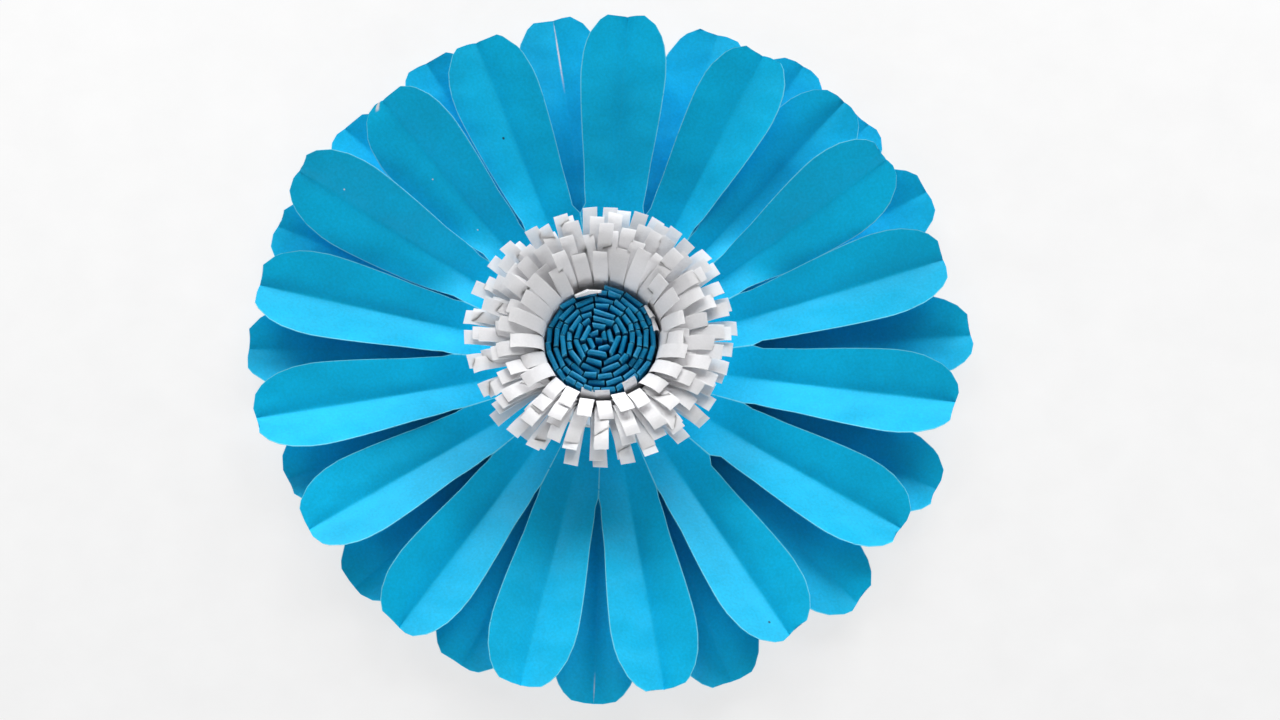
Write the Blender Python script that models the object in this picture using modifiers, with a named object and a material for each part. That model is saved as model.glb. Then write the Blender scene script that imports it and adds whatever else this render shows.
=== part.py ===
"""Paper flower: two creased card sheets of seventeen petals, a rolled white fringe and a rolled blue core.

Metres, +Z up. The flower lies on its back: the origin is the centre of the rear sheet's flat underside.
"""

import math

import bmesh
import bpy
from mathutils import Matrix

# Paper
CARD = 0.00025              # thickness of the blue card
FRINGE_PAPER = 0.0002       # thickness of the white paper
GLUE_FILM = 0.0004          # thickness of a pressed glue dab
SEAT_GAP = 0.0003           # clearance between pieces that touch

# Petal outline on the flat card, measured from the sheet's centre along a petal
FLAT_RADIUS = 0.026         # the unfolded middle of a sheet
ROOT_AT = 0.041             # inner end of the slits between petals
BELLY_AT = 0.0785           # the petal's widest place
TIP_AT = 0.0965             # length of a petal with a stretch of 1
ROOT_HALF_WIDTH = 0.0076
BELLY_HALF_WIDTH = 0.0124
FLARE_POWER = 1.35          # how the width grows from root to belly
TIP_POWER = 2.3             # squareness of the rounded end
TIP_FACETS = 4              # straight scissor cuts on each side of a tip
SLIT_WIDTH = 0.0004         # least opening beside a petal's first stretch
OVERLAP_CLEARANCE = 0.0004  # crowded petals overlap once one stands this far above the other
OVERLAP_PER_RISE = 2.5      # growth of the overlap on each side, per height between the two
BLADE_ROWS = (0.08, 0.28, 0.55)     # shares of the way from root to belly that carry a row of points
FOLD_RUN = 0.025            # length over which a petal's fold closes to its full angle

# Petals as folded by hand: azimuth, stretch, rise and fold, the angles in degrees
FRONT_PETALS = (
    (15, 1.02, 9, 13), (34, 0.99, 14, 8), (47, 1.04, 7, 9), (62, 1.00, 13, 13), (86, 1.02, 10, 14),
    (112, 1.01, 9, 11), (131, 0.99, 14, 9), (149, 1.05, 8, 8), (169, 1.01, 7, 14), (192, 1.00, 8, 14),
    (213, 0.96, 8, 14), (235, 0.97, 5, 18), (257, 1.00, 7, 15), (280, 1.00, 6, 18), (302, 0.97, 8, 14),
    (328, 0.98, 6, 14), (351, 1.02, 7, 14),
)
BACK_PETALS = (
    (3, 1.07, 4, 12), (28, 1.08, 4, 13), (43, 1.07, 1, 8), (57, 1.08, 4, 10), (72, 1.08, 1, 9),
    (99, 1.07, 4, 12), (121, 1.07, 5, 13), (138, 1.06, 2, 9), (158, 1.05, 4, 12), (179, 1.05, 3, 13),
    (202, 0.95, 3, 13), (224, 0.96, 3, 13), (246, 0.98, 3, 13), (268, 1.02, 3, 13), (290, 1.02, 3, 13),
    (314, 1.01, 3, 13), (337, 1.02, 3, 13),
)
FRONT_BOWL = 13             # slope of the folds between flat middle and slits, in degrees
BACK_BOWL = 5
FRONT_PLEAT = 0.0015        # depth of a crease below the folds beside it, at the slits
BACK_PLEAT = 0.0009
FRONT_SHIFT = -0.0012       # the front sheet is glued a little off the rear sheet's centre
ROLL_SHIFT = -0.0021        # and the rolls a little further

# White roll: a fringed strip wound round the core
FRINGE_TURNS = 6
FRINGE_PITCH = 0.0007       # distance from turn to turn
FRINGE_BAND = 0.010         # uncut edge that stands on the sheet
INNER_LENGTH = 0.0190       # length of the first fringes, next to the core
OUTER_LENGTH = 0.0200       # length of the last ones
FRINGE_WIDTH = 0.0039       # width of one fringe
FRINGE_CUT = 0.0003         # width of the cut between two fringes
FRINGE_STEPS = (0.3, 0.8, 1.0)      # shares of a fringe's length where it bends
INNER_BENDS = (6, 47, 68)   # angles from upright of a first fringe's three stretches, in degrees
OUTER_BENDS = (44, 76, 90)  # the same for a last fringe
BEND_SPREAD = 1.5           # unevenness of the bends, in degrees

# Blue core: a strip folded in half lengthwise, cut across the fold and rolled up
CORE_RADIUS = 0.0156
CORE_HEIGHT = 0.015
CORE_PITCH = 0.00185        # distance from turn to turn
CORE_BUNDLE = 0.0013        # thickness of the folded strip
CORE_START = 0.0016         # radius where the roll begins
TAB_LENGTH = 0.0040         # length of strip between two cuts
TAB_TURN = 0.5              # most that one block may turn round the roll, in radians
TAB_CUT = 0.0003            # width of a cut on the roll's inner side
TAB_DEPTH = 0.006           # depth of the cuts
TAB_ROUND = 0.0004          # rounding of the folded edge
CORE_DOME = 0.0010          # how far the roll's middle stands above its rim

STRIP_JOINT = 0.001         # along the roll, between the end of the core and the start of the white strip
ROLL_CLEARANCE = 0.0004     # between the core and the first turn of the white roll
SHEET_GLUE_RADIUS = 0.022
PAPER_BLUE = (0.004, 0.50, 0.82)
PAPER_WHITE = (0.80, 0.80, 0.83)
PAPER_TEAL = (0.003, 0.17, 0.34)
GLUE_CLEAR = (0.75, 0.74, 0.68)

# Heights of the stack, from the surface that the flower lies on
SHEET_GLUE_Z = CARD + SEAT_GAP
FRONT_Z = SHEET_GLUE_Z + GLUE_FILM + SEAT_GAP
ROLL_GLUE_Z = FRONT_Z + CARD + SEAT_GAP
ROLL_Z = ROLL_GLUE_Z + GLUE_FILM + SEAT_GAP
FRINGE_RADIUS = CORE_RADIUS + ROLL_CLEARANCE + FRINGE_PAPER
ROLL_GLUE_RADIUS = FRINGE_RADIUS + FRINGE_TURNS * FRINGE_PITCH


def material(name, colour, roughness):
    """A paper material with the part's colour."""
    made = bpy.data.materials.new(name)
    made.use_nodes = True
    shader = made.node_tree.nodes["Principled BSDF"]
    shader.inputs["Base Color"].default_value = (*colour, 1.0)
    shader.inputs["Roughness"].default_value = roughness
    shader.inputs["Metallic"].default_value = 0.0
    made.diffuse_color = (*colour, 1.0)
    return made


def add_object(bm, name, group, paper):
    """Turns a bmesh into a named object in the flower's collection."""
    mesh = bpy.data.meshes.new(name)
    bm.to_mesh(mesh)
    bm.free()
    mesh.materials.append(paper)
    piece = bpy.data.objects.new(name, mesh)
    group.objects.link(piece)
    return piece


def thicken(piece, thickness, offset):
    """Gives an open paper surface its thickness."""
    solid = piece.modifiers.new("thickness", "SOLIDIFY")
    solid.thickness = thickness
    solid.offset = offset
    solid.use_rim = True
    return solid


def hashed(index, salt):
    """A repeatable number between -1 and 1 for the small unevenness of handwork."""
    value = math.sin(index * 12.9898 + salt * 78.233) * 43758.5453
    return 2.0 * (value - math.floor(value)) - 1.0


def smooth(x):
    """Eases from 0 to 1."""
    x = min(max(x, 0.0), 1.0)
    return x * x * (3.0 - 2.0 * x)


def petal_half_width(along, root_half_width):
    """Half width of the flat petal at a distance from the sheet's centre."""
    if along <= BELLY_AT:
        back = (BELLY_AT - along) / (BELLY_AT - ROOT_AT)
        return BELLY_HALF_WIDTH - (BELLY_HALF_WIDTH - root_half_width) * back ** FLARE_POWER
    share = min((along - BELLY_AT) / (TIP_AT - BELLY_AT), 1.0)
    return BELLY_HALF_WIDTH * (1.0 - share ** TIP_POWER) ** (1.0 / TIP_POWER)


def petal_rows():
    """Distances from the centre at which a petal has a row of points, from the middle to the tip."""
    rows = [0.0, FLAT_RADIUS, ROOT_AT]
    rows += [ROOT_AT + share * (BELLY_AT - ROOT_AT) for share in BLADE_ROWS]
    for facet in range(TIP_FACETS + 1):
        rows.append(BELLY_AT + (TIP_AT - BELLY_AT) * math.sin(math.pi / 2 * facet / TIP_FACETS))
    return rows


def petal_room(petals, index, side):
    """Half the angle to the neighbour on one side, and the height between the two per length past the root."""
    azimuth, _, rise, _ = petals[index]
    other_azimuth, _, other_rise, _ = petals[(index + side) % len(petals)]
    half_gap = math.radians(side * (other_azimuth - azimuth) % 360) / 2
    return half_gap, abs(math.sin(math.radians(rise)) - math.sin(math.radians(other_rise)))


def petal_point(along, side, petal, rooms, bowl, pleat):
    """Place of a petal's point; side is -1, 0 or 1 for its clockwise edge, crease and other edge."""
    azimuth, stretch, rise, fold = petal
    half_gap, step = rooms[1] if side > 0 else rooms[0]
    past_flat = max(min(along, ROOT_AT) - FLAT_RADIUS, 0.0)
    ridge = past_flat * math.tan(math.radians(bowl))
    crease = ridge - pleat * past_flat / (ROOT_AT - FLAT_RADIUS)
    if along <= ROOT_AT:
        turn = math.radians(azimuth) + side * half_gap
        height = ridge if side else crease
        return along * math.cos(turn), along * math.sin(turn), height
    past_root = along - ROOT_AT
    closing = smooth(past_root / FOLD_RUN)
    climb = math.radians(rise)
    root_half_width = min(ROOT_HALF_WIDTH, ROOT_AT * math.sin(half_gap) - SLIT_WIDTH)
    half_width = petal_half_width(along, root_half_width)
    folded = half_width * math.cos(math.radians(fold) * closing)
    allowed = along * math.sin(half_gap) - SLIT_WIDTH
    allowed += OVERLAP_PER_RISE * max(past_root * step - OVERLAP_CLEARANCE, 0.0)
    across = side * min(folded, allowed)
    edge_lift = pleat + (half_width * math.sin(math.radians(fold)) - pleat) * closing
    reach = ROOT_AT + past_root * stretch * math.cos(climb)
    height = crease + past_root * stretch * math.sin(climb) + edge_lift * abs(side)
    turn = math.radians(azimuth)
    x = reach * math.cos(turn) - across * math.sin(turn)
    y = reach * math.sin(turn) + across * math.cos(turn)
    return x, y, height


def petal_sheet(name, petals, bowl, pleat, lift, shift, group, paper):
    """One card sheet: every petal is a creased grid, joined to its neighbours up to the slits."""
    bm = bmesh.new()
    rows = petal_rows()
    for index, petal in enumerate(petals):
        rooms = (petal_room(petals, index, -1), petal_room(petals, index, 1))
        made = bmesh.ops.create_grid(bm, x_segments=2, y_segments=len(rows) - 1, size=1.0)
        for vert in made["verts"]:
            side = round(vert.co.x)
            row = round((vert.co.y + 1.0) / 2.0 * (len(rows) - 1))
            x, y, z = petal_point(rows[row], side, petal, rooms, bowl, pleat)
            vert.co = (x + shift, y, z + lift)
    bmesh.ops.remove_doubles(bm, verts=bm.verts, dist=1e-6)
    bmesh.ops.recalc_face_normals(bm, faces=bm.faces)
    if sum(face.normal.z for face in bm.faces) < 0:
        bmesh.ops.reverse_faces(bm, faces=bm.faces)
    sheet = add_object(bm, name, group, paper)
    thicken(sheet, CARD, 1.0)
    return sheet


def fringe_profile(share, wound, index):
    """Outward reach and height of a fringe at a share of its length; wound runs from 0 to 1 along the strip."""
    length = INNER_LENGTH + (OUTER_LENGTH - INNER_LENGTH) * wound
    out, up, start = 0.0, FRINGE_BAND, 0.0
    for stop, inner, outer in zip(FRINGE_STEPS, INNER_BENDS, OUTER_BENDS):
        bend = math.radians(inner + (outer - inner) * wound + BEND_SPREAD * hashed(index, 1))
        run = (min(share, stop) - start) * length
        out += run * math.sin(bend)
        up += run * math.cos(bend)
        if share <= stop:
            break
        start = stop
    return out, up


def grid_place(vert, columns, rows):
    """Column and row of a vertex on a grid of size 1."""
    column = round((vert.co.x + 1.0) / 2.0 * columns)
    row = round((vert.co.y + 1.0) / 2.0 * rows)
    return column, row


def cut_faces(bm, columns, rows):
    """The faces of a strip that its cuts remove: every other column, above the uncut band."""
    chosen = []
    for face in bm.faces:
        middle = face.calc_center_median()
        column = int((middle.x + 1.0) / 2.0 * columns)
        row = int((middle.y + 1.0) / 2.0 * rows)
        if column % 2 == 1 and row > 0:
            chosen.append(face)
    return chosen


def fringe_roll(group, paper):
    """The white strip, wound on where the core ends: a spiral band cut into fringes that bend outwards."""
    length = 0.0
    for turn in range(FRINGE_TURNS):
        length += 2 * math.pi * (FRINGE_RADIUS + FRINGE_PITCH * (turn + 0.5))
    pitch = FRINGE_WIDTH + FRINGE_CUT
    count = int(length / pitch)
    shares = (-1.0, 0.0, *FRINGE_STEPS)
    spans = len(shares) - 1
    columns = 2 * count - 1
    bm = bmesh.new()
    made = bmesh.ops.create_grid(bm, x_segments=columns, y_segments=spans, size=1.0)
    cuts = cut_faces(bm, columns, spans)
    for vert in made["verts"]:
        column, row = grid_place(vert, columns, spans)
        index = column // 2
        place = index * pitch + (column % 2) * FRINGE_WIDTH
        angle, radius = spiral(place, FRINGE_RADIUS, FRINGE_PITCH)
        middle_angle = spiral(index * pitch + FRINGE_WIDTH / 2, FRINGE_RADIUS, FRINGE_PITCH)[0]
        if row < 2:
            out, up = 0.0, FRINGE_BAND * row
        else:
            out, up = fringe_profile(shares[row], middle_angle / (2 * math.pi * FRINGE_TURNS), index)
        radius -= CORE_PITCH * max(1.0 - angle / (2 * math.pi), 0.0)
        x = radius * math.cos(angle) + out * math.cos(middle_angle)
        y = radius * math.sin(angle) + out * math.sin(middle_angle)
        vert.co = (x, y, up)
    start_angle = core_blocks()[-1][1] + STRIP_JOINT / CORE_RADIUS
    bmesh.ops.rotate(bm, verts=bm.verts, matrix=Matrix.Rotation(start_angle, 3, "Z"))
    bmesh.ops.translate(bm, verts=bm.verts, vec=(ROLL_SHIFT, 0.0, ROLL_Z))
    bmesh.ops.delete(bm, geom=cuts, context="FACES")
    roll = add_object(bm, "white_fringe_roll", group, paper)
    thicken(roll, FRINGE_PAPER, 0.0)
    return roll


def spiral(place, radius, pitch):
    """Angle and radius of a spiral at a length along it."""
    angle = 2 * math.pi * (math.sqrt(radius ** 2 + pitch * place / math.pi) - radius) / pitch
    return angle, radius + pitch * angle / (2 * math.pi)


def core_blocks():
    """Start and end angle of each block along the core's strip, shorter towards the middle."""
    outer_angle = (CORE_RADIUS - CORE_BUNDLE / 2 - CORE_START) * 2 * math.pi / CORE_PITCH
    blocks = []
    angle = 0.0
    while angle < outer_angle:
        radius = CORE_START + CORE_PITCH * angle / (2 * math.pi)
        turn = min(TAB_LENGTH / radius, TAB_TURN)
        blocks.append((angle, angle + turn))
        angle += turn + (TAB_CUT + CORE_BUNDLE * math.tan(turn / 2)) / radius
    return blocks


def core_roll(group, paper):
    """The folded blue strip: a tight spiral whose top is cut into short blocks with rounded folds."""
    blocks = core_blocks()
    levels = (0.0, CORE_HEIGHT - TAB_DEPTH, CORE_HEIGHT - TAB_ROUND, CORE_HEIGHT)
    spans = len(levels) - 1
    columns = 2 * len(blocks) - 1
    bm = bmesh.new()
    made = bmesh.ops.create_grid(bm, x_segments=columns, y_segments=spans, size=1.0)
    cuts = cut_faces(bm, columns, spans)
    folds = []
    for vert in made["verts"]:
        column, row = grid_place(vert, columns, spans)
        angle = blocks[column // 2][column % 2]
        radius = CORE_START + CORE_PITCH * angle / (2 * math.pi)
        height = levels[row]
        if row > 0:
            height += CORE_DOME * (1.0 - (radius / CORE_RADIUS) ** 2)
        if row == spans:
            folds.append(vert)
        vert.co = (radius * math.cos(angle) + ROLL_SHIFT, radius * math.sin(angle), ROLL_Z + height)
    bmesh.ops.delete(bm, geom=cuts, context="FACES")
    bm.verts.index_update()
    fold_indices = [vert.index for vert in folds]
    roll = add_object(bm, "blue_core_roll", group, paper)
    bundle = roll.vertex_groups.new(name="bundle")
    bundle.add(range(len(roll.data.vertices)), 1.0, "REPLACE")
    bundle.add(fold_indices, 1.0 - 2.0 * TAB_ROUND / CORE_BUNDLE, "REPLACE")
    solid = thicken(roll, CORE_BUNDLE, 0.0)
    solid.vertex_group = bundle.name
    return roll


def glue_dab(name, radius, lift, shift, group, paper):
    """A thin round film of dried glue between two layers."""
    bm = bmesh.new()
    bmesh.ops.create_cone(
        bm, cap_ends=True, segments=32, radius1=radius, radius2=radius - GLUE_FILM, depth=GLUE_FILM
    )
    bmesh.ops.translate(bm, verts=bm.verts, vec=(shift, 0.0, lift + GLUE_FILM / 2))
    return add_object(bm, name, group, paper)


def main():
    for leftover in list(bpy.data.objects):
        bpy.data.objects.remove(leftover)
    group = bpy.data.collections.new("paper_flower")
    bpy.context.scene.collection.children.link(group)
    blue = material("blue_card", PAPER_BLUE, 0.8)
    white = material("white_paper", PAPER_WHITE, 0.85)
    teal = material("core_paper", PAPER_TEAL, 0.7)
    glue = material("dried_glue", GLUE_CLEAR, 0.5)
    petal_sheet("back_petal_sheet", BACK_PETALS, BACK_BOWL, BACK_PLEAT, 0.0, 0.0, group, blue)
    petal_sheet("front_petal_sheet", FRONT_PETALS, FRONT_BOWL, FRONT_PLEAT, FRONT_Z, FRONT_SHIFT, group, blue)
    glue_dab("sheet_glue_dab", SHEET_GLUE_RADIUS, SHEET_GLUE_Z, FRONT_SHIFT, group, glue)
    glue_dab("roll_glue_dab", ROLL_GLUE_RADIUS, ROLL_GLUE_Z, ROLL_SHIFT, group, glue)
    fringe_roll(group, white)
    core_roll(group, teal)


main()
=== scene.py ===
"""Dresses the paper flower: creased card petals, a curled white fringe, a rolled blue core, light and camera."""

import math

import bmesh
import bpy
from mathutils import Matrix, Vector


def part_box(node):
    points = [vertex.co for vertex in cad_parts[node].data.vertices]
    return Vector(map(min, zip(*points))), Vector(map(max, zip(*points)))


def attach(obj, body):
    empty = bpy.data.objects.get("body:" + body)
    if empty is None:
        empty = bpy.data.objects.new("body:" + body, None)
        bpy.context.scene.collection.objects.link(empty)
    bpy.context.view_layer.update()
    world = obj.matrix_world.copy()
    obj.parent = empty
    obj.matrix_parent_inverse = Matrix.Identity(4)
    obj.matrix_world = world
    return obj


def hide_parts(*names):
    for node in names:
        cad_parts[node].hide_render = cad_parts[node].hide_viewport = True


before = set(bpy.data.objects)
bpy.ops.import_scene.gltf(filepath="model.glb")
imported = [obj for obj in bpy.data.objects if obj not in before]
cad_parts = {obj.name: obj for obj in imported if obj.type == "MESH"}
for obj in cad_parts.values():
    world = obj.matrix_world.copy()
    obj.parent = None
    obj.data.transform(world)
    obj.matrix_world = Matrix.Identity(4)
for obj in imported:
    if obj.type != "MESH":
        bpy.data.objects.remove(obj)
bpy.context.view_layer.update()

# Places taken from the frame
FRONT_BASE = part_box("front_petal_sheet")[0].z
BACK_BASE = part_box("back_petal_sheet")[0].z
FRONT_CENTRE = sum(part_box("sheet_glue_dab"), Vector()) / 2
HEART = sum(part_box("roll_glue_dab"), Vector()) / 2
ROLL_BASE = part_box("white_fringe_roll")[0].z

# Petal outline on the flat card, in metres from the sheet's centre
CARD = 0.00025              # thickness of the card
FLAT_RADIUS = 0.026         # the sheet lies flat up to here
ROOT_AT = 0.041             # the slits between the petals start here
BELLY_AT = 0.0785           # where a petal is widest
TIP_AT = 0.0965
ROOT_HALF_WIDTH = 0.0076
BELLY_HALF_WIDTH = 0.0124
FLARE_POWER = 1.35          # how late a petal widens between its root and its widest place
TIP_POWER = 2.3             # squareness of a tip: 2 is an ellipse
TIP_CUTS = 6                # straight scissor cuts on each side of a tip
TIP_END_TURN = 81           # where the last cut ends round the tip, in degrees
CUT_ROWS = 2                # rows along each of those cuts
CUT_SLIP = 0.3              # unevenness of the cuts, as a share of one
TIP_SLIP = 0.0007           # and of a tip's end
SLIT_WIDTH = 0.0004
OVERLAP_CLEARANCE = 0.0004  # crowded petals overlap once one stands this far above the other
OVERLAP_PER_RISE = 2.5      # growth of the overlap on each side, per height between the two
FOLD_RUN = 0.014            # past its root, a petal reaches its own fold over this length
ACROSS = (0.0, 0.045, 0.11, 0.24, 0.42, 0.6, 0.78, 0.985, 1.0)    # columns on each side of a crease
BLADE_STEP = 0.0027         # spacing of the rows along a petal
CREASE_ROUND = 0.07         # softness of a crease, as a share of the half width
CREASE_DEPTH = 0.13         # a fold is this much deeper right at its crease, as a share of the pleat
CREASE_REACH = 0.24         # within this share of the half width
HALF_CURVE = 0.95           # how each half of a petal curves up to its edge

# Petals as folded by hand: azimuth, stretch, rise and the fold of the half before and after the crease
FRONT_PETALS = (
    (15, 1.02, 9, 14, 17), (34, 0.99, 14, -5, 26), (47, 1.04, 7, 3, 9), (62, 1.00, 14, 20, 14),
    (86, 1.02, 11.5, 17, 17), (112, 1.01, 10.5, 14, 9), (131, 0.97, 14, 26, -4), (149, 1.05, 10, 28, -8),
    (169, 1.01, 7, 17, 17), (192, 1.00, 8, 13, 19), (213, 0.96, 8, 8, 22), (235, 0.97, 5, 24, 22),
    (257, 1.00, 7, 19, 19), (280, 1.00, 6, 22, 22), (302, 0.97, 8, 22, 15), (328, 0.98, 6, 15, 18),
    (351, 1.02, 7, 19, 14),
)
BACK_PETALS = (
    (3, 1.07, 4, 12, 12), (28, 1.08, 4, 3, 13), (43, 1.07, 1, 2, 8), (57, 1.08, 4, 3, 10),
    (72, 1.08, 1, 9, 9), (99, 1.07, 4, 12, 12), (121, 1.07, 5, 13, 4), (138, 1.06, 2, 9, 2),
    (158, 1.05, 4, 12, 3), (179, 1.05, 3, 13, 13), (202, 0.95, 3, 13, 13), (224, 0.96, 3, 13, 13),
    (246, 0.98, 3, 13, 13), (268, 1.02, 3, 13, 13), (290, 1.02, 3, 13, 13), (314, 1.01, 3, 13, 13),
    (337, 1.02, 3, 13, 13),
)
FRONT_BOWL = 15             # slope of a sheet from its flat middle to the roots, in degrees
BACK_BOWL = 4
FRONT_PLEAT = 0.0028        # depth of the creases at the roots
BACK_PLEAT = 0.0009
FRONT_DRAW = 12             # first draw for the uneven tips of the front sheet
BACK_DRAW = 11              # and of the back sheet
TIP_DRAWS = 11              # draws from one tip to the next
WELD = 1e-6                 # points this close are one

# White strip
PAPER = 0.0002              # thickness of the paper
FRINGE_RADIUS = 0.0160      # of its first turn
FRINGE_TURNS = 6
FRINGE_PITCH = 0.0007       # from turn to turn
FRINGE_BAND = 0.010         # width of the uncut band
STRIP_JOINT = 0.001         # from the end of the core's strip to the start of this one
INNER_LENGTH = 0.0157       # of the first fringes, next to the core
OUTER_LENGTH = 0.0201       # of the last ones
LENGTH_GROWTH = 1.3         # how soon along the strip the fringes reach their full length
INNER_SPREAD = 0.19         # unevenness of the first fringes' length, as a share
OUTER_SPREAD = 0.05
FRINGE_WIDTH = 0.0039
FRINGE_CUT = 0.0003
FRINGE_ROWS = 12            # rows along a fringe
PROFILE_STEPS = 4           # steps of a fringe's curve in each row
BEND_PLACES = (0.0, 0.3, 0.5, 0.84, 1.0)       # shares of a fringe's length
INNER_BENDS = (-3, 4, 42, 56, 96)              # angles from upright there, next to the core
OUTER_BENDS = (8, 58, 74, 80, 101)             # the same on the last fringes
SLUMP_SPREAD = 9            # unevenness of those angles along a fringe and at its curled end, in degrees
CURL_SPREAD = 18
FRINGE_TWIST = 0.22         # most that a fringe turns over its length, in radians
FRINGE_STRAY = 7            # most that one leans aside, in degrees
INWARD_CURLS = (            # first fringes that curl over the core: azimuth, length and turn of the curl
    (118, 0.0080, 1.10), (106, 0.0084, 1.15), (96, 0.0076, 1.05), (33, 0.0066, 1.0), (20, 0.0062, 0.9),
    (8, 0.0060, 1.1), (303, 0.0078, 0.8), (277, 0.0062, 0.6), (262, 0.0058, 0.9),
)
INWARD_BENDS = (0, 0, -2, -24, -125)
INWARD_REACH = 6            # degrees on each side of a curl's azimuth that it takes up
BACKING_LENGTH = 0.0148     # of the second turn's fringes, close behind those
BACKING_SPREAD = 0.12       # unevenness of that, as a share
BACKING_REACH = 12          # degrees on each side that they take up
BACKING_LEAN = 0.9          # their bends, as a share of the first fringes', and the unevenness of that
BACKING_LEAN_SPREAD = 0.15

# Blue core strip
CORE_RADIUS = 0.0156
CORE_HEIGHT = 0.015
CORE_PITCH = 0.00185        # from turn to turn
CORE_BUNDLE = 0.0013        # thickness of the folded strip
CORE_START = 0.0016         # radius at which the winding starts
TAB_LENGTH = 0.0037         # mean length of a block
TAB_SPREAD = 0.55           # unevenness of that, as a share
TAB_TURN = 1.05             # most that one block turns round the roll, in radians
TAB_CUT = 0.0003            # width of the cuts between the blocks
TAB_DEPTH = 0.006           # and their depth
TAB_RIM = 0.00016           # width of the pale cut line at a block's end
TAB_LIFT = 0.0006           # most that a block stands above or below the others
TAB_TILT = 0.0004           # and that one end stands above its other end
TAB_SLIP = 0.00026          # and that an end slips inwards or outwards
SUNK_DRAWN = 0.7            # blocks that draw more than this are sunk
SUNK_LIFT = 0.8             # by this share of the lift
CORE_DOME = 0.0010          # rise of the blocks towards the middle
CORE_HEART = 0.0008         # half length of the straight first block, across the middle
FOLD_STEPS = 4              # steps in the round of a folded edge
FOLD_TURN = 77              # how far round the fold the steps go, in degrees
FOLD_HEIGHT = 0.0005        # height of that round
BLOCK_COLUMNS = 4           # grid lines of a block: its two ends and the inner borders of its pale cut lines
TOP_FACING = 0.75           # a face whose normal rises more than this looks up
RIM_LONGEST = 0.001         # a pale one longer than this closes a fold, which isn't cut, and turns blue

# Repeatable draws for the uneven places: the sine's own numbers, and salts that differ within a piece
HASH_STEPS = (12.9898, 78.233)
HASH_SPREAD = 43758.5453
SLUMP_DRAW = 1
CURL_DRAW = 2
LENGTH_DRAW = 3
TWIST_DRAW = 4
STRAY_DRAW = 5
LEAN_DRAW = 7
LIFT_DRAW = 5
SINK_DRAW = 6
BLOCK_DRAW = 7
TILT_DRAW = 8
SLIP_DRAW = 9
CUT_DRAW = 3
TIP_DRAW = 9

# Colours, linear
BLUE = (0.001, 0.51, 0.85)
EDGE = (0.17, 0.72, 0.92)
WHITE = (0.87, 0.865, 0.88)
# painted shade: the core is the petals' blue card, painted darker and more teal as the shade in its recess; its pale
# cut ends are painted darker in the same way
CORE_BLUE_PAINTED_SHADE = (0.002, 0.25, 0.49)
CORE_EDGE_PAINTED_SHADE = (0.05, 0.38, 0.58)
GLUE = (0.75, 0.74, 0.68)
SPECK = (0.01, 0.05, 0.10)
FLOOR = (0.93, 0.93, 0.935)

# Wear on the card and a painted highlight along its cut edges, in shares of a petal's half width across and of its
# length plus its number along
EDGE_WEAR_AND_HIGHLIGHT = 0.022
EDGE_GAIN = 1.8             # strength of the pale edge, partly wear and partly painted highlight
EDGE_BREAKS = (5.0, -1.2)   # gain and offset of the pattern that breaks it up
PATCHY_SCALE = 700.0        # of that pattern
CREASE_WEAR = 0.03
CREASE_PALE = 0.04          # strength of the worn crease
STREAK_WIDTH = 0.03
SPOT_RATIO = 0.13           # a petal's half width over its length, which keeps spots round
SPOT_GAIN = 3.0             # sharpness of flecks and specks
BACK_STREAKS = ((5.9, 0.12, 3.0), (13.95, 0.05, 1.5))       # place along, reach and strength
FRONT_FLECKS = ((0.5, 6.99, 0.14), (0.30, 6.72, 0.02), (0.35, 6.52, 0.02), (-0.2, 7.86, 0.02))
FRONT_SPECKS = ((0.25, 5.70, 0.035), (-0.3, 14.93, 0.035))

# Papers
GRAIN_DARK_AT = 0.35        # where the pattern of colour is darkest
GRAIN_LIGHT_AT = 0.65       # and lightest
GRAIN_BUMP = 0.5            # strength of the fibres' bump
WAVE_SCALE = 1.6            # of the slow waves, against that of the clouds
WHITE_GLOW_DEPTH = 0.0003   # how far light spreads in the white paper

# Camera and light
PHOTO_SCALE = 3.65          # pixels of the photograph per millimetre at the flower
PHOTO_WIDTH = 1280
PHOTO_CENTRE = (640, 360)
SENSOR_WIDTH = 36.0         # of the camera, in millimetres
MILLIMETRES = 1000          # in a metre
FLOWER_PIXEL = (607.5, 358.5)   # where the origin lies in the photograph
CAMERA_DISTANCE = 0.9
CAMERA_TILT = 17            # from straight above, towards the lower edge of the photograph
FLOOR_OWN = 0.8             # share of the floor's look that is its own pale glow, not its light and shadow
FLOOR_PAINTED_FALLOFF_SPAN = (-0.11, 0.11)  # painted light falloff: the glow grows over this stretch, from below the flower to above it, so the floor is painted darker towards the bottom
# levels of that painted light falloff: the glow below the flower and above it
FLOOR_PAINTED_FALLOFF_LEVELS = (0.90, 1.0)
FLOOR_HALF_SIZE = 3.0
FLOOR_SINK = 0.0001         # below the flower's back
FLOOR_FIBRES = 60.0         # scale of the floor's soft pattern
FLOOR_SOFT = 0.05           # and its strength
LAMPS = (                   # name, strength, apparent width in degrees, direction that the light comes from
    ("window_left", 2.4, 38, (-0.33, 0.88, 0.385)),
    ("window_right", 2.4, 38, (0.44, 0.84, 0.385)),
    ("pale_wall", 1.75, 40, (-0.10, -0.95, 0.17)),
)
WORLD_STRENGTH = 0.22


def hashed(index, salt):
    """A repeatable number between -1 and 1 for the small unevenness of handwork."""
    value = math.sin(index * HASH_STEPS[0] + salt * HASH_STEPS[1]) * HASH_SPREAD
    return 2.0 * (value - math.floor(value)) - 1.0


def smooth(x):
    """Eases from 0 to 1."""
    x = min(max(x, 0.0), 1.0)
    return x * x * (3.0 - 2.0 * x)


def new_material(name):
    """A material with its node tree and shader."""
    made = bpy.data.materials.new(name)
    made.use_nodes = True
    return made, made.node_tree, made.node_tree.nodes["Principled BSDF"]


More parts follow.
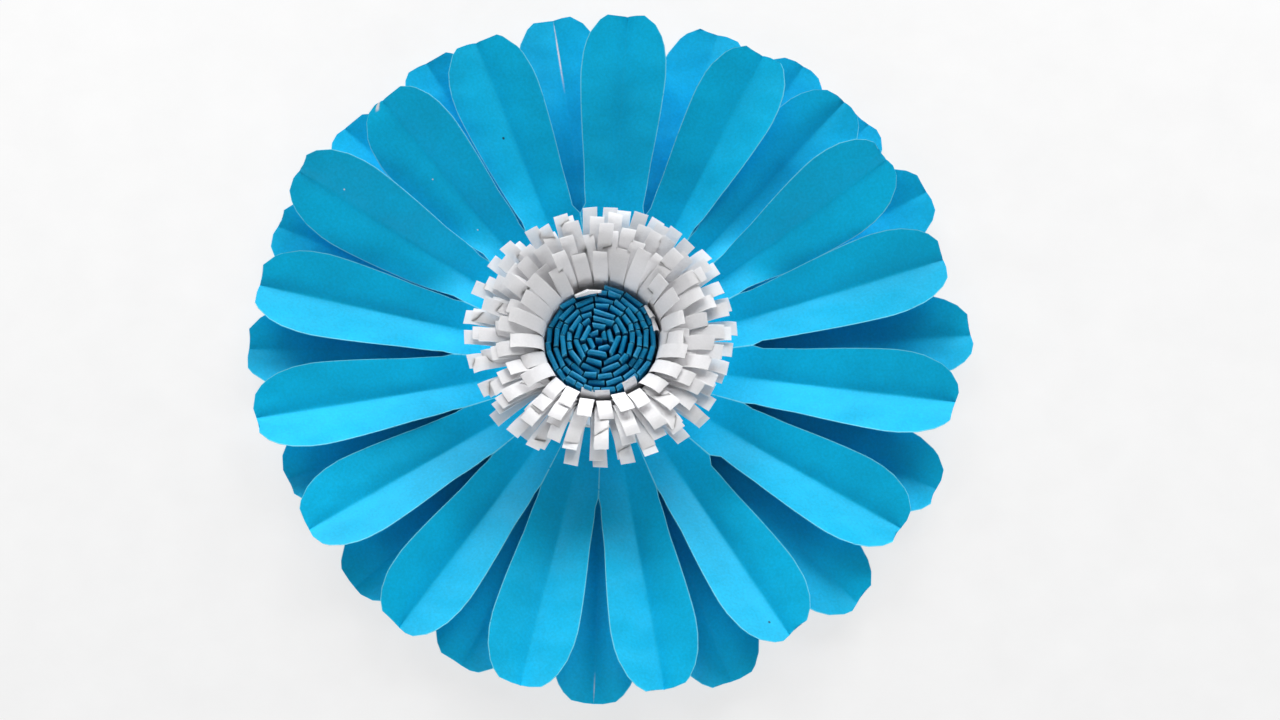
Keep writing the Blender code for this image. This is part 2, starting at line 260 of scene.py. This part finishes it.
def add_node(tree, kind, **inputs):
    """A node with some of its inputs set; an underscore in a name stands for a space."""
    node = tree.nodes.new(kind)
    for name, value in inputs.items():
        node.inputs[name.replace("_", " ")].default_value = value
    return node


def noise(tree, scale, detail=2.0):
    """A noise pattern on object coordinates."""
    place = tree.nodes.new("ShaderNodeTexCoord")
    pattern = add_node(tree, "ShaderNodeTexNoise", Scale=scale, Detail=detail)
    tree.links.new(place.outputs["Object"], pattern.inputs["Vector"])
    return pattern


def reckon(tree, operation, *values):
    """A number reckoned by one math node from sockets and constants."""
    node = tree.nodes.new("ShaderNodeMath")
    node.operation = operation
    for socket, value in zip(node.inputs, values):
        if isinstance(value, (int, float)):
            socket.default_value = value
        else:
            tree.links.new(value, socket)
    return node.outputs[0]


def paper_material(
    name, colour, *, grain, grain_depth, cloud, roughness, gloss=0.3, wave_depth=0.0, patches=0.07
):
    """Matte paper: fine fibre grain in colour and bump over slow clouds of colour and slow waves."""
    made, tree, shader = new_material(name)
    fibres = noise(tree, grain, 4.0)
    clouds = noise(tree, cloud, 2.0)
    blend = reckon(tree, "ADD", fibres.outputs["Fac"], clouds.outputs["Fac"])
    ramp = tree.nodes.new("ShaderNodeValToRGB")
    dark, light = ramp.color_ramp.elements
    dark.position = GRAIN_DARK_AT
    dark.color = (*(c * (1.0 - patches) for c in colour), 1.0)
    light.position = GRAIN_LIGHT_AT
    light.color = (*(min(c * (1.0 + patches), 1.0) for c in colour), 1.0)
    tree.links.new(reckon(tree, "MULTIPLY", blend, 0.5), ramp.inputs["Fac"])
    tree.links.new(ramp.outputs["Color"], shader.inputs["Base Color"])
    bump = add_node(tree, "ShaderNodeBump", Strength=GRAIN_BUMP, Distance=grain_depth)
    tree.links.new(fibres.outputs["Fac"], bump.inputs["Height"])
    tree.links.new(bump.outputs["Normal"], shader.inputs["Normal"])
    if wave_depth:
        waves = add_node(tree, "ShaderNodeBump", Strength=1.0, Distance=wave_depth)
        tree.links.new(noise(tree, WAVE_SCALE * cloud, 1.0).outputs["Fac"], waves.inputs["Height"])
        tree.links.new(waves.outputs["Normal"], bump.inputs["Normal"])
    shader.inputs["Roughness"].default_value = roughness
    shader.inputs["Specular IOR Level"].default_value = gloss
    return made


def near(tree, value, centre, reach):
    """1 where a value is at a centre, falling to 0 at a distance from it."""
    away = reckon(tree, "ABSOLUTE", reckon(tree, "SUBTRACT", value, centre))
    return reckon(tree, "MAXIMUM", reckon(tree, "SUBTRACT", 1.0, reckon(tree, "DIVIDE", away, reach)), 0.0)


def stain(tree, shader, strength, colour):
    """Blends a colour over the shader's colour, as strongly as a socket says."""
    mix = tree.nodes.new("ShaderNodeMix")
    mix.data_type = "RGBA"
    tree.links.new(strength, mix.inputs["Factor"])
    tree.links.new(shader.inputs["Base Color"].links[0].from_socket, mix.inputs["A"])
    mix.inputs["B"].default_value = (*colour, 1.0)
    tree.links.new(mix.outputs["Result"], shader.inputs["Base Color"])


def card_material(name, streaks, flecks, specks):
    """Blue card with worn creases, edges worn pale and partly painted with a highlight, white streaks along some
    creases, white flecks and dark specks.
    """
    made = paper_material(
        name, BLUE, grain=1400.0, grain_depth=0.00006, cloud=55.0,
        roughness=0.5, gloss=0.14, wave_depth=0.0008, patches=0.12,
    )
    tree = made.node_tree
    shader = tree.nodes["Principled BSDF"]
    layout = tree.nodes.new("ShaderNodeUVMap")
    layout.uv_map = "sheet"
    split = tree.nodes.new("ShaderNodeSeparateXYZ")
    tree.links.new(layout.outputs["UV"], split.inputs["Vector"])
    across, along = split.outputs["X"], split.outputs["Y"]
    patchy = noise(tree, PATCHY_SCALE, 3.0).outputs["Fac"]
    outward = reckon(tree, "ABSOLUTE", across)
    broken = reckon(tree, "MINIMUM", reckon(tree, "MULTIPLY_ADD", patchy, *EDGE_BREAKS), 1.0)
    # painted highlight: a thin pale band along both cut edges of each petal, partly wear and partly a highlight
    # painted where edges catch the light
    edge = reckon(tree, "MULTIPLY", near(tree, outward, 1.0, EDGE_WEAR_AND_HIGHLIGHT), broken)
    edge = reckon(tree, "MINIMUM", reckon(tree, "MULTIPLY", edge, EDGE_GAIN), 1.0)
    stain(tree, shader, reckon(tree, "MAXIMUM", edge, 0.0), EDGE)
    crease = reckon(tree, "MULTIPLY", near(tree, across, 0.0, CREASE_WEAR), patchy)
    stain(tree, shader, reckon(tree, "MULTIPLY", crease, CREASE_PALE), EDGE)
    for place, reach, strength in streaks:
        line = reckon(tree, "MULTIPLY", near(tree, across, 0.0, STREAK_WIDTH), near(tree, along, place, reach))
        line = reckon(tree, "MULTIPLY", reckon(tree, "MULTIPLY", line, patchy), strength)
        stain(tree, shader, reckon(tree, "MINIMUM", line, 1.0), WHITE)
    for spots, colour in ((flecks, WHITE), (specks, SPECK)):
        for x, y, size in spots:
            dot = reckon(tree, "MULTIPLY", near(tree, across, x, size), near(tree, along, y, size * SPOT_RATIO))
            dot = reckon(tree, "MINIMUM", reckon(tree, "MULTIPLY", dot, SPOT_GAIN), 1.0)
            stain(tree, shader, dot, colour)
    return made


def finish_mesh(bm, name, materials, thickness, edge_angle, offset=0.0, group=None):
    """Makes an object of an open paper surface and gives it its thickness and pale cut edges."""
    mesh = bpy.data.meshes.new(name)
    bm.to_mesh(mesh)
    bm.free()
    for made in materials:
        mesh.materials.append(made)
    piece = bpy.data.objects.new(name, mesh)
    bpy.context.scene.collection.objects.link(piece)
    solid = piece.modifiers.new("thickness", "SOLIDIFY")
    solid.thickness = thickness
    solid.offset = offset
    solid.material_offset_rim = 1
    if group:
        bundle = piece.vertex_groups.new(name="bundle")
        for weight, indices in group.items():
            bundle.add(indices, weight, "REPLACE")
        solid.vertex_group = bundle.name
    depsgraph = bpy.context.evaluated_depsgraph_get()
    baked = bpy.data.meshes.new_from_object(piece.evaluated_get(depsgraph))
    piece.modifiers.clear()
    piece.vertex_groups.clear()
    piece.data = baked
    baked.name = name
    bpy.data.meshes.remove(mesh)
    baked.shade_smooth()
    baked.set_sharp_from_angle(angle=math.radians(edge_angle))
    return piece


def flared_half_width(along, half_gap):
    """Half width of the flat petal between its root and its widest place; a crowded petal has a narrower root."""
    root = min(ROOT_HALF_WIDTH, ROOT_AT * math.sin(half_gap) - SLIT_WIDTH)
    back = (BELLY_AT - along) / (BELLY_AT - ROOT_AT)
    return BELLY_HALF_WIDTH - (BELLY_HALF_WIDTH - root) * back ** FLARE_POWER


def tip_corners(index, side):
    """Corners of the scissor cuts round one side of a tip, each a distance along and a half width."""
    corners = [(BELLY_AT, BELLY_HALF_WIDTH)]
    for cut in range(1, TIP_CUTS + 1):
        slip = CUT_SLIP * hashed(index * TIP_DRAWS + cut, side + CUT_DRAW)
        turn = math.radians(TIP_END_TURN) * (cut + (slip if cut < TIP_CUTS else 0.0)) / TIP_CUTS
        share = math.sin(turn)
        width = BELLY_HALF_WIDTH * (1.0 - share ** TIP_POWER) ** (1.0 / TIP_POWER)
        reach = share / math.sin(math.radians(TIP_END_TURN))
        corners.append((BELLY_AT + (TIP_AT - BELLY_AT) * reach, width))
    last_along, last_width = corners[-1]
    corners[-1] = (last_along - TIP_SLIP * (1.0 + hashed(index, side + TIP_DRAW)), last_width)
    return corners


def petal_rows(corners, rooms):
    """Rows of a petal from the middle to the tip: the place on the crease and the two edge points."""
    flat = [0.0, FLAT_RADIUS / 2, FLAT_RADIUS, (FLAT_RADIUS + ROOT_AT) / 2, ROOT_AT]
    count = round((BELLY_AT - ROOT_AT) / BLADE_STEP)
    flat += [ROOT_AT + (BELLY_AT - ROOT_AT) * step / count for step in range(1, count + 1)]
    rows = []
    for along in flat:
        rows.append((along, *((along, flared_half_width(max(along, ROOT_AT), room[0])) for room in rooms)))
    ends = [side[-1] for side in corners]
    middle = (ends[0][0] * ends[1][1] + ends[1][0] * ends[0][1]) / (ends[0][1] + ends[1][1])
    for step in range(1, TIP_CUTS * CUT_ROWS + 1):
        turn = math.radians(TIP_END_TURN) * step / (TIP_CUTS * CUT_ROWS)
        along = BELLY_AT + (middle - BELLY_AT) * math.sin(turn) / math.sin(math.radians(TIP_END_TURN))
        cut = min(step // CUT_ROWS, TIP_CUTS - 1)
        part = step / CUT_ROWS - cut
        edges = []
        for side in corners:
            (start, wide), (stop, narrow) = side[cut], side[cut + 1]
            edges.append((start + (stop - start) * part, wide + (narrow - wide) * part))
        rows.append((along, *edges))
    return rows


def petal_room(petals, index, side):
    """Half the angle to the neighbour on one side, and the height between the two per length past the root."""
    azimuth, _, rise, *folds = petals[index]
    other_azimuth, _, other_rise, *other_folds = petals[(index + side) % len(petals)]
    half_gap = math.radians(side * (other_azimuth - azimuth) % 360) / 2
    fold, other_fold = (folds[1], other_folds[0]) if side > 0 else (folds[0], other_folds[1])
    step = math.sin(math.radians(rise)) - math.sin(math.radians(other_rise))
    fold_step = math.sin(math.radians(fold)) - math.sin(math.radians(other_fold))
    step += fold_step * BELLY_HALF_WIDTH / (BELLY_AT - ROOT_AT)
    return half_gap, abs(step)


def petal_point(row, across_share, petal, rooms, bowl, pleat):
    """Place of a point on a folded petal; across_share runs from -1 to 1 over the crease at 0."""
    azimuth, stretch, rise, *folds = petal
    half_gap, step = rooms[1] if across_share > 0 else rooms[0]
    edge_along, half_width = row[2] if across_share > 0 else row[1]
    outward = abs(across_share)
    along = row[0] + (edge_along - row[0]) * outward
    rounded = (math.hypot(outward, CREASE_ROUND) - CREASE_ROUND) / (math.hypot(1.0, CREASE_ROUND) - CREASE_ROUND)
    past_flat = max(min(along, ROOT_AT) - FLAT_RADIUS, 0.0)
    ridge = past_flat * math.tan(math.radians(bowl))
    crease = ridge - pleat * past_flat / (ROOT_AT - FLAT_RADIUS)
    if along <= ROOT_AT:
        turn = math.radians(azimuth) + across_share * half_gap
        return along * math.cos(turn), along * math.sin(turn), crease + (ridge - crease) * rounded
    past_root = along - ROOT_AT
    closing = smooth(past_root / FOLD_RUN)
    climb = math.radians(rise)
    folded = half_width * math.cos(math.radians(folds[across_share > 0]) * closing)
    allowed = along * math.sin(half_gap) - SLIT_WIDTH
    allowed += OVERLAP_PER_RISE * max(past_root * step - OVERLAP_CLEARANCE, 0.0)
    across = across_share * min(folded, allowed)
    before, after = (pleat + (half_width * math.sin(math.radians(fold)) - pleat) * closing for fold in folds)
    reach = ROOT_AT + past_root * stretch * math.cos(climb)
    reach -= ROOT_AT * (1.0 - math.cos(across_share * half_gap)) * (1.0 - closing)
    height = crease + past_root * stretch * math.sin(climb)
    height += (after + before) / 2 * rounded ** HALF_CURVE + (after - before) / 2 * across_share
    height -= CREASE_DEPTH * pleat * closing * max(1.0 - outward / CREASE_REACH, 0.0)
    turn = math.radians(azimuth)
    x = reach * math.cos(turn) - across * math.sin(turn)
    y = reach * math.sin(turn) + across * math.cos(turn)
    return x, y, height


def petal_sheet(name, node, petals, draw, bowl, pleat, base, centre, materials):
    """One card sheet of creased petals, joined to each other up to the slits."""
    bm = bmesh.new()
    layout = bm.loops.layers.uv.new("sheet")
    columns = len(ACROSS) - 1
    for index, petal in enumerate(petals):
        rooms = (petal_room(petals, index, -1), petal_room(petals, index, 1))
        rows = petal_rows((tip_corners(index + draw, -1), tip_corners(index + draw, 1)), rooms)
        spans = len(rows) - 1
        made = bmesh.ops.create_grid(bm, x_segments=2 * columns, y_segments=spans, size=1.0)
        for vert in made["verts"]:
            row = round((vert.co.y + 1.0) / 2.0 * spans)
            share = math.copysign(ACROSS[round(abs(vert.co.x) * columns)], vert.co.x)
            x, y, z = petal_point(rows[row], share, petal, rooms, bowl, pleat)
            vert.co = (x + centre.x, y + centre.y, z + base)
            for loop in vert.link_loops:
                loop[layout].uv = (share, rows[row][0] / TIP_AT + index)
    bmesh.ops.remove_doubles(bm, verts=bm.verts, dist=WELD)
    bmesh.ops.recalc_face_normals(bm, faces=bm.faces)
    if sum(face.normal.z for face in bm.faces) < 0:
        bmesh.ops.reverse_faces(bm, faces=bm.faces)
    sheet = finish_mesh(bm, name, materials, CARD, edge_angle=50, offset=1.0)
    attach(sheet, "root")
    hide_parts(node)
    return sheet


def spiral(place, radius, pitch):
    """Angle and radius of a spiral at a length along it."""
    angle = 2 * math.pi * (math.sqrt(radius ** 2 + pitch * place / math.pi) - radius) / pitch
    return angle, radius + pitch * angle / (2 * math.pi)


def between(places, values, at):
    """Value at a place on a line of points."""
    for left, right, low, high in zip(places, places[1:], values, values[1:]):
        if at <= right:
            return low + (high - low) * (at - left) / (right - left)
    return values[-1]


def fringe_profile(share, bends, length):
    """Outward reach and height of a fringe at a share of its length."""
    out, up = 0.0, FRINGE_BAND
    steps = PROFILE_STEPS * FRINGE_ROWS
    for step in range(round(share * steps)):
        bend = math.radians(between(BEND_PLACES, bends, (step + 0.5) / steps))
        out += length / steps * math.sin(bend)
        up += length / steps * math.cos(bend)
    return out, up


def fringe_shape(index, azimuth, wound):
    """Bends and length of one fringe: azimuth in degrees, wound from 0 to 1 along the strip."""
    for place, length, turn in INWARD_CURLS:
        away = abs((azimuth - place + 180) % 360 - 180)
        if wound * FRINGE_TURNS < 1 and away < INWARD_REACH:
            return [bend * turn for bend in INWARD_BENDS], length
        if 1 <= wound * FRINGE_TURNS < 2 and away < BACKING_REACH:
            lean = BACKING_LEAN + BACKING_LEAN_SPREAD * hashed(index, LEAN_DRAW)
            spread = BACKING_SPREAD * hashed(index, LENGTH_DRAW)
            return [bend * lean for bend in INNER_BENDS], BACKING_LENGTH * (1.0 + spread)
    grown = smooth(wound * LENGTH_GROWTH)
    slump = SLUMP_SPREAD * hashed(index, SLUMP_DRAW)
    bends = [
        inner + (outer - inner) * wound + slump * place
        for place, inner, outer in zip(BEND_PLACES, INNER_BENDS, OUTER_BENDS)
    ]
    bends[-1] += CURL_SPREAD * hashed(index, CURL_DRAW)
    length = INNER_LENGTH + (OUTER_LENGTH - INNER_LENGTH) * grown
    spread = INNER_SPREAD + (OUTER_SPREAD - INNER_SPREAD) * grown
    return bends, length * (1.0 + spread * hashed(index, LENGTH_DRAW))


def grid_place(vert, columns, rows):
    """Column and row of a vertex on a grid of size 1."""
    column = round((vert.co.x + 1.0) / 2.0 * columns)
    row = round((vert.co.y + 1.0) / 2.0 * rows)
    return column, row


def cut_faces(bm, columns, rows):
    """The faces of a strip that its cuts remove: every other column, above the uncut band."""
    chosen = []
    for face in bm.faces:
        middle = face.calc_center_median()
        column = int((middle.x + 1.0) / 2.0 * columns)
        row = int((middle.y + 1.0) / 2.0 * rows)
        if column % 2 == 1 and row > 0:
            chosen.append(face)
    return chosen


def core_blocks():
    """Start and end angle of each block along the core's strip, shorter towards the middle."""
    outer_angle = (CORE_RADIUS - CORE_BUNDLE / 2 - CORE_START) * 2 * math.pi / CORE_PITCH
    blocks = []
    angle = 0.0
    while angle < outer_angle:
        radius = CORE_START + CORE_PITCH * angle / (2 * math.pi)
        turn = min(TAB_LENGTH * (1.0 + TAB_SPREAD * hashed(len(blocks), BLOCK_DRAW)) / radius, TAB_TURN)
        blocks.append((angle, angle + turn))
        angle += turn + (TAB_CUT + CORE_BUNDLE * math.tan(turn / 2)) / radius
    return blocks


def fringe_roll(materials):
    """The white strip with its fringes bent outwards, turn over turn."""
    length = 0.0
    for turn in range(FRINGE_TURNS):
        length += 2 * math.pi * (FRINGE_RADIUS + FRINGE_PITCH * (turn + 0.5))
    pitch = FRINGE_WIDTH + FRINGE_CUT
    count = int(length / pitch)
    start_angle = core_blocks()[-1][1] + STRIP_JOINT / CORE_RADIUS
    spans = FRINGE_ROWS + 1
    columns = 2 * count - 1
    bm = bmesh.new()
    made = bmesh.ops.create_grid(bm, x_segments=columns, y_segments=spans, size=1.0)
    cuts = cut_faces(bm, columns, spans)
    for vert in made["verts"]:
        column, row = grid_place(vert, columns, spans)
        index = column // 2
        place = index * pitch + (column % 2) * FRINGE_WIDTH
        angle, radius = spiral(place, FRINGE_RADIUS, FRINGE_PITCH)
        middle_angle = spiral(index * pitch + FRINGE_WIDTH / 2, FRINGE_RADIUS, FRINGE_PITCH)[0]
        radius -= CORE_PITCH * max(1.0 - angle / (2 * math.pi), 0.0)
        if row < 2:
            vert.co = (radius * math.cos(angle), radius * math.sin(angle), FRINGE_BAND * row)
            continue
        share = (row - 1) / FRINGE_ROWS
        azimuth = math.degrees(middle_angle + start_angle) % 360
        bends, strip = fringe_shape(index, azimuth, middle_angle / (2 * math.pi * FRINGE_TURNS))
        out, up = fringe_profile(share, bends, strip)
        bend = math.radians(between(BEND_PLACES, bends, share))
        twist = FRINGE_TWIST * hashed(index, TWIST_DRAW) * share
        aside = math.radians(FRINGE_STRAY * hashed(index, STRAY_DRAW)) * out
        half = FRINGE_WIDTH / 2 * (1 if column % 2 else -1)
        reach = radius + out - half * math.sin(twist) * math.cos(bend)
        along = half * math.cos(twist) + aside
        x = reach * math.cos(middle_angle) - along * math.sin(middle_angle)
        y = reach * math.sin(middle_angle) + along * math.cos(middle_angle)
        vert.co = (x, y, up + half * math.sin(twist) * math.sin(bend))
    bmesh.ops.delete(bm, geom=cuts, context="FACES")
    bmesh.ops.rotate(bm, verts=bm.verts, matrix=Matrix.Rotation(start_angle, 3, "Z"))
    bmesh.ops.translate(bm, verts=bm.verts, vec=(HEART.x, HEART.y, ROLL_BASE))
    roll = finish_mesh(bm, "curled_white_fringe", materials, PAPER, edge_angle=40)
    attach(roll, "root")
    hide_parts("white_fringe_roll")
    return roll


def core_line(index, column, blocks):
    """Place on the strip's middle line: one of the four columns of a block; block 0 lies across the middle."""
    if index == 0:
        share = (-1.0, -1.0 + TAB_RIM / CORE_HEART, 1.0 - TAB_RIM / CORE_HEART, 1.0)[column]
        return Vector((CORE_HEART * share, 0.0))
    start, stop = blocks[index - 1]
    rim = TAB_RIM / (CORE_START + CORE_PITCH * start / (2 * math.pi))
    angle = (start, start + rim, stop - rim, stop)[column]
    radius = CORE_START + CORE_PITCH * angle / (2 * math.pi)
    return Vector((radius * math.cos(angle), radius * math.sin(angle)))


def core_roll(materials):
    """The folded blue strip: a tight spiral of short blocks with rounded folds and pale cut ends."""
    blocks = core_blocks()
    levels = [0.0, CORE_HEIGHT - TAB_DEPTH]
    weights = [1.0, 1.0]
    for step in range(FOLD_STEPS + 1):
        turn = math.radians(FOLD_TURN) * step / FOLD_STEPS
        levels.append(CORE_HEIGHT + FOLD_HEIGHT * (math.sin(turn) / math.sin(math.radians(FOLD_TURN)) - 1.0))
        weights.append(math.cos(turn))
    spans = len(levels) - 1
    columns = BLOCK_COLUMNS * (len(blocks) + 1) - 1
    bm = bmesh.new()
    made = bmesh.ops.create_grid(bm, x_segments=columns, y_segments=spans, size=1.0)
    cuts = []
    for face in bm.faces:
        middle = face.calc_center_median()
        column = int((middle.x + 1.0) / 2.0 * columns)
        row = int((middle.y + 1.0) / 2.0 * spans)
        part = column % BLOCK_COLUMNS
        if part == BLOCK_COLUMNS - 1 and row > 0:
            cuts.append(face)
        elif part != 1 and row > 1:
            face.material_index = 1
    group = {}
    for vert in made["verts"]:
        column, row = grid_place(vert, columns, spans)
        index, part = divmod(column, BLOCK_COLUMNS)
        place = core_line(index, part, blocks)
        height = levels[row]
        if row > 0:
            height += CORE_DOME * (1.0 - (place.length / CORE_RADIUS) ** 2)
        if row > 1:
            far_end = part > 1
            sunk = hashed(index, SINK_DRAW) > SUNK_DRAWN
            height += TAB_LIFT * (hashed(index, LIFT_DRAW) - SUNK_LIFT * sunk)
            height += TAB_TILT * hashed(index, TILT_DRAW) * (1 if far_end else -1)
            place *= 1.0 + TAB_SLIP * hashed(index, SLIP_DRAW + far_end) / max(place.length, CORE_START)
        group.setdefault(weights[row], []).append(vert)
        vert.co = (place.x + HEART.x, place.y + HEART.y, ROLL_BASE + height)
    bmesh.ops.delete(bm, geom=cuts, context="FACES")
    bm.verts.index_update()
    group = {weight: [vert.index for vert in verts] for weight, verts in group.items()}
    roll = finish_mesh(bm, "rolled_blue_core", materials, CORE_BUNDLE, edge_angle=35, group=group)
    for face in roll.data.polygons:
        if face.normal.z > TOP_FACING and face.material_index == 1 and len(face.vertices) == 4:
            longest = max(
                (roll.data.vertices[a].co - roll.data.vertices[b].co).length for a, b in face.edge_keys
            )
            if longest > RIM_LONGEST:
                face.material_index = 0
    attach(roll, "root")
    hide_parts("blue_core_roll")
    return roll


def add_floor():
    """The plain pale surface that the flower lies on; its glow has a painted light falloff, darker towards the
    bottom.
    """
    bm = bmesh.new()
    bmesh.ops.create_grid(bm, x_segments=1, y_segments=1, size=FLOOR_HALF_SIZE)
    bmesh.ops.translate(bm, verts=bm.verts, vec=(0.0, 0.0, -FLOOR_SINK))
    mesh = bpy.data.meshes.new("floor")
    bm.to_mesh(mesh)
    bm.free()
    made = paper_material("pale_floor", FLOOR, grain=90.0, grain_depth=0.0004, cloud=6.0, roughness=0.9)
    tree = made.node_tree
    shader = tree.nodes["Principled BSDF"]
    place = tree.nodes.new("ShaderNodeTexCoord")
    split = tree.nodes.new("ShaderNodeSeparateXYZ")
    tree.links.new(place.outputs["Object"], split.inputs["Vector"])
    # painted light falloff: the floor's glow is painted weaker below the flower than above it
    painted_falloff = tree.nodes.new("ShaderNodeMapRange")
    painted_falloff.inputs["From Min"].default_value, painted_falloff.inputs["From Max"].default_value = FLOOR_PAINTED_FALLOFF_SPAN
    painted_falloff.inputs["To Min"].default_value, painted_falloff.inputs["To Max"].default_value = FLOOR_PAINTED_FALLOFF_LEVELS
    tree.links.new(split.outputs["Y"], painted_falloff.inputs["Value"])
    fibres = noise(tree, FLOOR_FIBRES, 5.0)
    soft = reckon(tree, "MULTIPLY_ADD", fibres.outputs["Fac"], FLOOR_SOFT, -FLOOR_SOFT / 2)
    glow = tree.nodes.new("ShaderNodeEmission")
    tree.links.new(reckon(tree, "ADD", painted_falloff.outputs["Result"], soft), glow.inputs["Strength"])
    rays = tree.nodes.new("ShaderNodeLightPath")
    seen = reckon(tree, "MAXIMUM", rays.outputs["Is Camera Ray"], rays.outputs["Is Glossy Ray"])
    seen = reckon(tree, "MAXIMUM", seen, rays.outputs["Is Transmission Ray"])
    mix = tree.nodes.new("ShaderNodeMixShader")
    tree.links.new(reckon(tree, "MULTIPLY", seen, FLOOR_OWN), mix.inputs["Fac"])
    tree.links.new(shader.outputs["BSDF"], mix.inputs[1])
    tree.links.new(glow.outputs["Emission"], mix.inputs[2])
    tree.links.new(mix.outputs["Shader"], tree.nodes["Material Output"].inputs["Surface"])
    mesh.materials.append(made)
    floor = bpy.data.objects.new("floor", mesh)
    bpy.context.scene.collection.objects.link(floor)


def add_light():
    """Soft daylight from a wide window at the photograph's upper edge, and what a wall across from it throws back."""
    for name, strength, angle, source in LAMPS:
        sun = bpy.data.lights.new(name, "SUN")
        sun.energy = strength
        sun.angle = math.radians(angle)
        lamp = bpy.data.objects.new(name, sun)
        lamp.rotation_euler = Vector(source).to_track_quat("Z", "Y").to_euler()
        bpy.context.scene.collection.objects.link(lamp)
    world = bpy.data.worlds.new("soft_room")
    world.use_nodes = True
    background = world.node_tree.nodes["Background"]
    background.inputs["Color"].default_value = (1.0, 1.0, 1.0, 1.0)
    background.inputs["Strength"].default_value = WORLD_STRENGTH
    bpy.context.scene.world = world


def add_camera():
    """The photograph's view: nearly straight down, with the top of the picture towards +Y."""
    tilt = math.radians(CAMERA_TILT)
    aim_x = (PHOTO_CENTRE[0] - FLOWER_PIXEL[0]) / PHOTO_SCALE / MILLIMETRES
    aim_y = (FLOWER_PIXEL[1] - PHOTO_CENTRE[1]) / PHOTO_SCALE / MILLIMETRES / math.cos(tilt)
    data = bpy.data.cameras.new("camera")
    data.sensor_width = SENSOR_WIDTH
    data.lens = SENSOR_WIDTH * CAMERA_DISTANCE / (PHOTO_WIDTH / PHOTO_SCALE / MILLIMETRES)
    camera = bpy.data.objects.new("camera", data)
    camera.location = (
        aim_x,
        aim_y - CAMERA_DISTANCE * math.sin(tilt),
        CAMERA_DISTANCE * math.cos(tilt),
    )
    camera.rotation_euler = (tilt, 0.0, 0.0)
    bpy.context.scene.collection.objects.link(camera)
    bpy.context.scene.camera = camera


def main():
    """Makes the papers, the four pieces, the floor, the light and the camera."""
    bpy.context.scene.view_settings.view_transform = "Standard"
    front_card = card_material("front_blue_card", (), FRONT_FLECKS, FRONT_SPECKS)
    back_card = card_material("back_blue_card", BACK_STREAKS, (), ())
    white = paper_material(
        "white_paper", WHITE, grain=1600.0, grain_depth=0.00004, cloud=120.0,
        roughness=0.8, gloss=0.12, patches=0.03,
    )
    shader = white.node_tree.nodes["Principled BSDF"]
    shader.inputs["Subsurface Weight"].default_value = 1.0
    shader.inputs["Subsurface Radius"].default_value = (1.0, 1.0, 1.0)
    shader.inputs["Subsurface Scale"].default_value = WHITE_GLOW_DEPTH
    # painted shade: the core's paper and its cut ends are the blue card painted darker, as the shade of its recess
    shaded_core_card = paper_material(
        "core_paper", CORE_BLUE_PAINTED_SHADE, grain=1500.0, grain_depth=0.00005, cloud=320.0, roughness=0.38, patches=0.2
    )
    card_edge, white_edge, shaded_core_edge = (
        paper_material(name, colour, grain=2500.0, grain_depth=0.00003, cloud=300.0, roughness=0.8)
        for name, colour in (("cut_card_edge", EDGE), ("cut_white_edge", WHITE), ("cut_core_edge_in_painted_shade", CORE_EDGE_PAINTED_SHADE))
    )
    glue = paper_material("dried_glue", GLUE, grain=700.0, grain_depth=0.00005, cloud=90.0, roughness=0.35)
    petal_sheet(
        "back_petals", "back_petal_sheet", BACK_PETALS, BACK_DRAW, BACK_BOWL, BACK_PLEAT,
        BACK_BASE, Vector((0.0, 0.0, 0.0)), (back_card, card_edge),
    )
    petal_sheet(
        "front_petals", "front_petal_sheet", FRONT_PETALS, FRONT_DRAW, FRONT_BOWL, FRONT_PLEAT,
        FRONT_BASE, FRONT_CENTRE, (front_card, card_edge),
    )
    fringe_roll((white, white_edge))
    core_roll((shaded_core_card, shaded_core_edge))
    for node in ("sheet_glue_dab", "roll_glue_dab"):
        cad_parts[node].data.materials.clear()
        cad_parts[node].data.materials.append(glue)
    add_floor()
    add_light()
    add_camera()


main()
